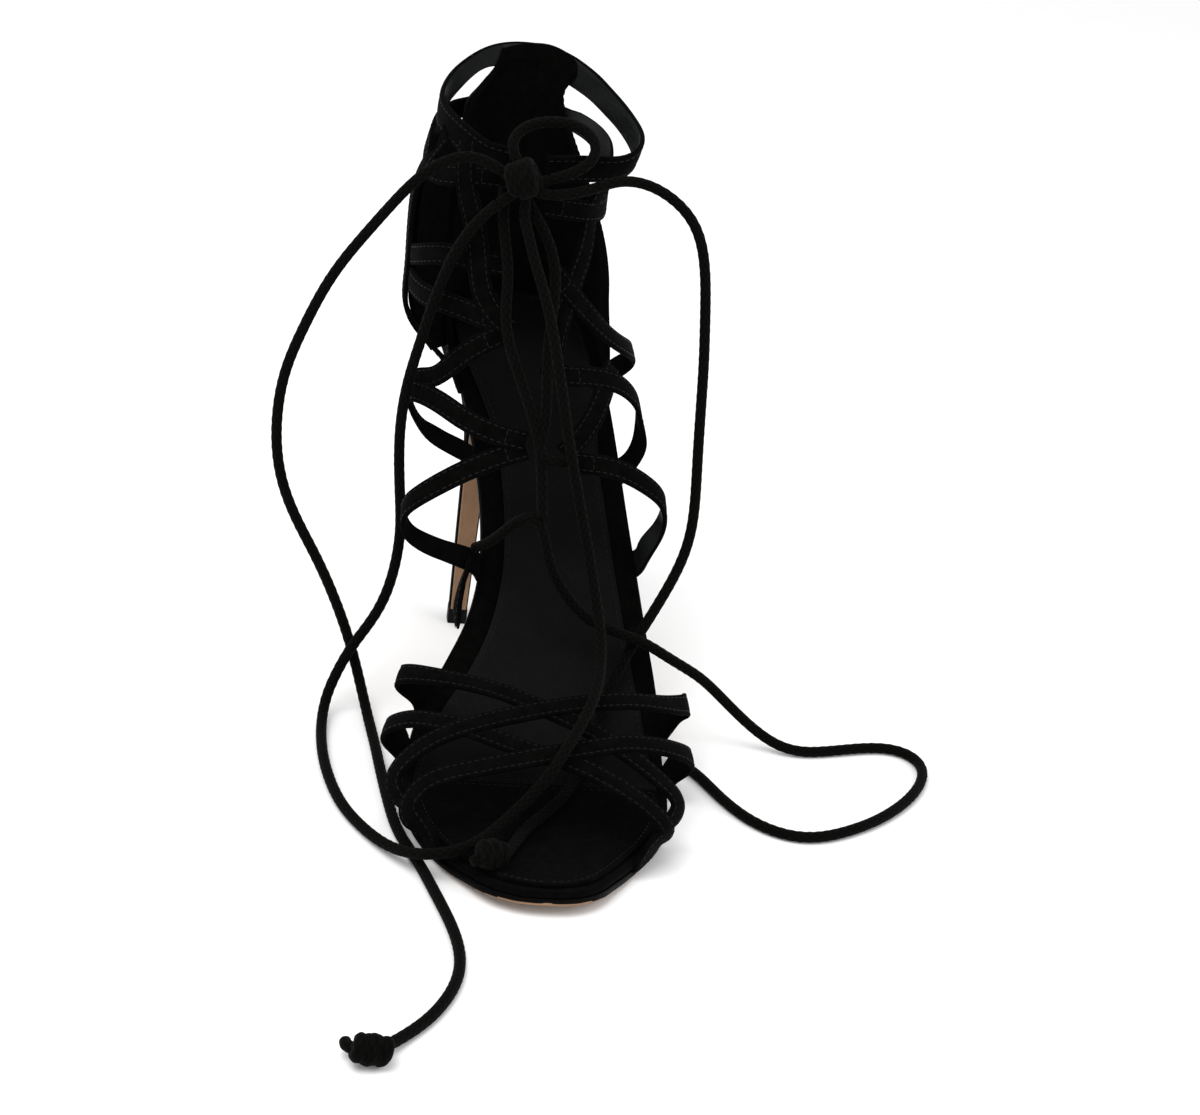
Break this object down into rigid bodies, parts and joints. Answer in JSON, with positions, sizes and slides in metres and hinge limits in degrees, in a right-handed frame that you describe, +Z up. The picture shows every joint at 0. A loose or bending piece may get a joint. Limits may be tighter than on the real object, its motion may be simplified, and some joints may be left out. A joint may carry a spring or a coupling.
{
  "type": "lace-up stiletto sandal",
  "caption": "Left high-heeled sandal with a cage of narrow suede straps, closed heel counter, ankle collar, slim high heel, and a long round lace criss-crossed and knotted at the throat.",
  "frame": {"origin": "on the floor, under the middle of the shoe's outline without its free laces", "axes": "-Y towards the toe, +Y towards the heel, +X towards the outer (little toe) side, +Z up"},
  "size_m": [0.2224, 0.3008, 0.2028],
  "materials": {
    "suede": "napped, matt",
    "smooth_leather": "smooth, satin",
    "sole_leather": "smooth, semi-matt",
    "rubber": "matt",
    "cord": "round braid, matt"
  },
  "bodies": {
    "root": {"footbed": "suede", "outsole": "sole_leather", "insole": "smooth_leather", "insole_toe": "suede", "heel": "suede", "heel_breast": "sole_leather", "heel_tip": "rubber", "upper": "suede", "vamp_cage": "suede", "lace_crossings": "cord", "lace_end_inner": "cord", "lace_loop_long": "cord", "lace_loop_short": "cord", "lace_end_outer": "cord", "lace_slack": "cord", "lace_knot": "cord", "stopper_knot_inner": "cord", "stopper_knot_outer": "cord"}
  },
  "joints": []
}
